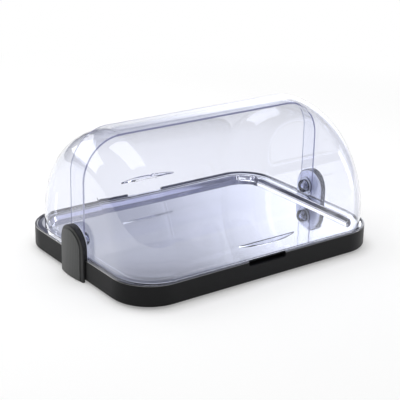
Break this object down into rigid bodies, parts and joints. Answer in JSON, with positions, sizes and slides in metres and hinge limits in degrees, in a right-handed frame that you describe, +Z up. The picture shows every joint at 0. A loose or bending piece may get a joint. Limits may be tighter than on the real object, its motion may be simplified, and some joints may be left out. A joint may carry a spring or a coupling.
{
  "type": "refrigerated roll-top display",
  "caption": "Counter-top chilled food display: a polished tray over sealed ice packs in a low black housing, under clear quarter-round covers that roll past each other.",
  "frame": {"origin": "on the surface it stands on, under the middle of the housing", "axes": "+X along the pivot line towards the right end as seen from the front, -Y towards the front (the outer cover's side), +Z up"},
  "size_m": [0.456, 0.3247, 0.208],
  "materials": {
    "black_housing": "black moulded plastic, fine satin",
    "polished_steel": "polished stainless steel sheet",
    "clear_cover": "clear glossy plastic with a faint violet tint",
    "foot_rubber": "black rubber",
    "ice_pack_blue": "smooth blue blow-moulded plastic",
    "plug_white": "white moulded plastic",
    "bracket_black": "black moulded plastic, satin",
    "cap_charcoal": "charcoal moulded plastic, satin",
    "liner_clear": "clear glossy plastic",
    "pin_steel": "turned steel",
    "bush_white": "natural white low-friction plastic",
    "disc_clear": "clear glossy plastic",
    "knob_smoke": "translucent smoke-blue glossy plastic",
    "screw_steel": "zinc-bright steel"
  },
  "bodies": {
    "base": {"base_housing": "black_housing", "steel_tray": "polished_steel", "foot_front_left": "foot_rubber", "foot_front_right": "foot_rubber", "foot_rear_left": "foot_rubber", "foot_rear_right": "foot_rubber", "ice_pack_right": "ice_pack_blue", "ice_pack_left": "ice_pack_blue", "pack_plug_right": "plug_white", "pack_plug_left": "plug_white", "hinge_bracket_right": "bracket_black", "hinge_bracket_left": "bracket_black", "bracket_cap_right": "cap_charcoal", "bracket_cap_left": "cap_charcoal", "bracket_liner_right": "liner_clear", "bracket_liner_left": "liner_clear", "pivot_pin_right": "pin_steel", "pivot_pin_left": "pin_steel", "pivot_bush_right": "bush_white", "pivot_bush_left": "bush_white", "cover_spacer_right": "bush_white", "cover_spacer_left": "bush_white", "knob_disc_right": "disc_clear", "knob_disc_left": "disc_clear", "pivot_knob_right": "knob_smoke", "pivot_knob_left": "knob_smoke", "bracket_screws_right": "screw_steel", "bracket_screws_left": "screw_steel"},
    "front_cover": {"front_cover": "clear_cover"},
    "rear_cover": {"rear_cover": "clear_cover"}
  },
  "joints": [
    {"name": "front_cover_swing", "type": "hinge", "parent": "base", "child": "front_cover", "pos_m": [0, 0, 0.052], "axis": [-1, 0, 0], "range_deg": [0, 90]},
    {"name": "rear_cover_swing", "type": "hinge", "parent": "base", "child": "rear_cover", "pos_m": [0, 0, 0.052], "axis": [-1, 0, 0], "range_deg": [-90, 0]}
  ]
}
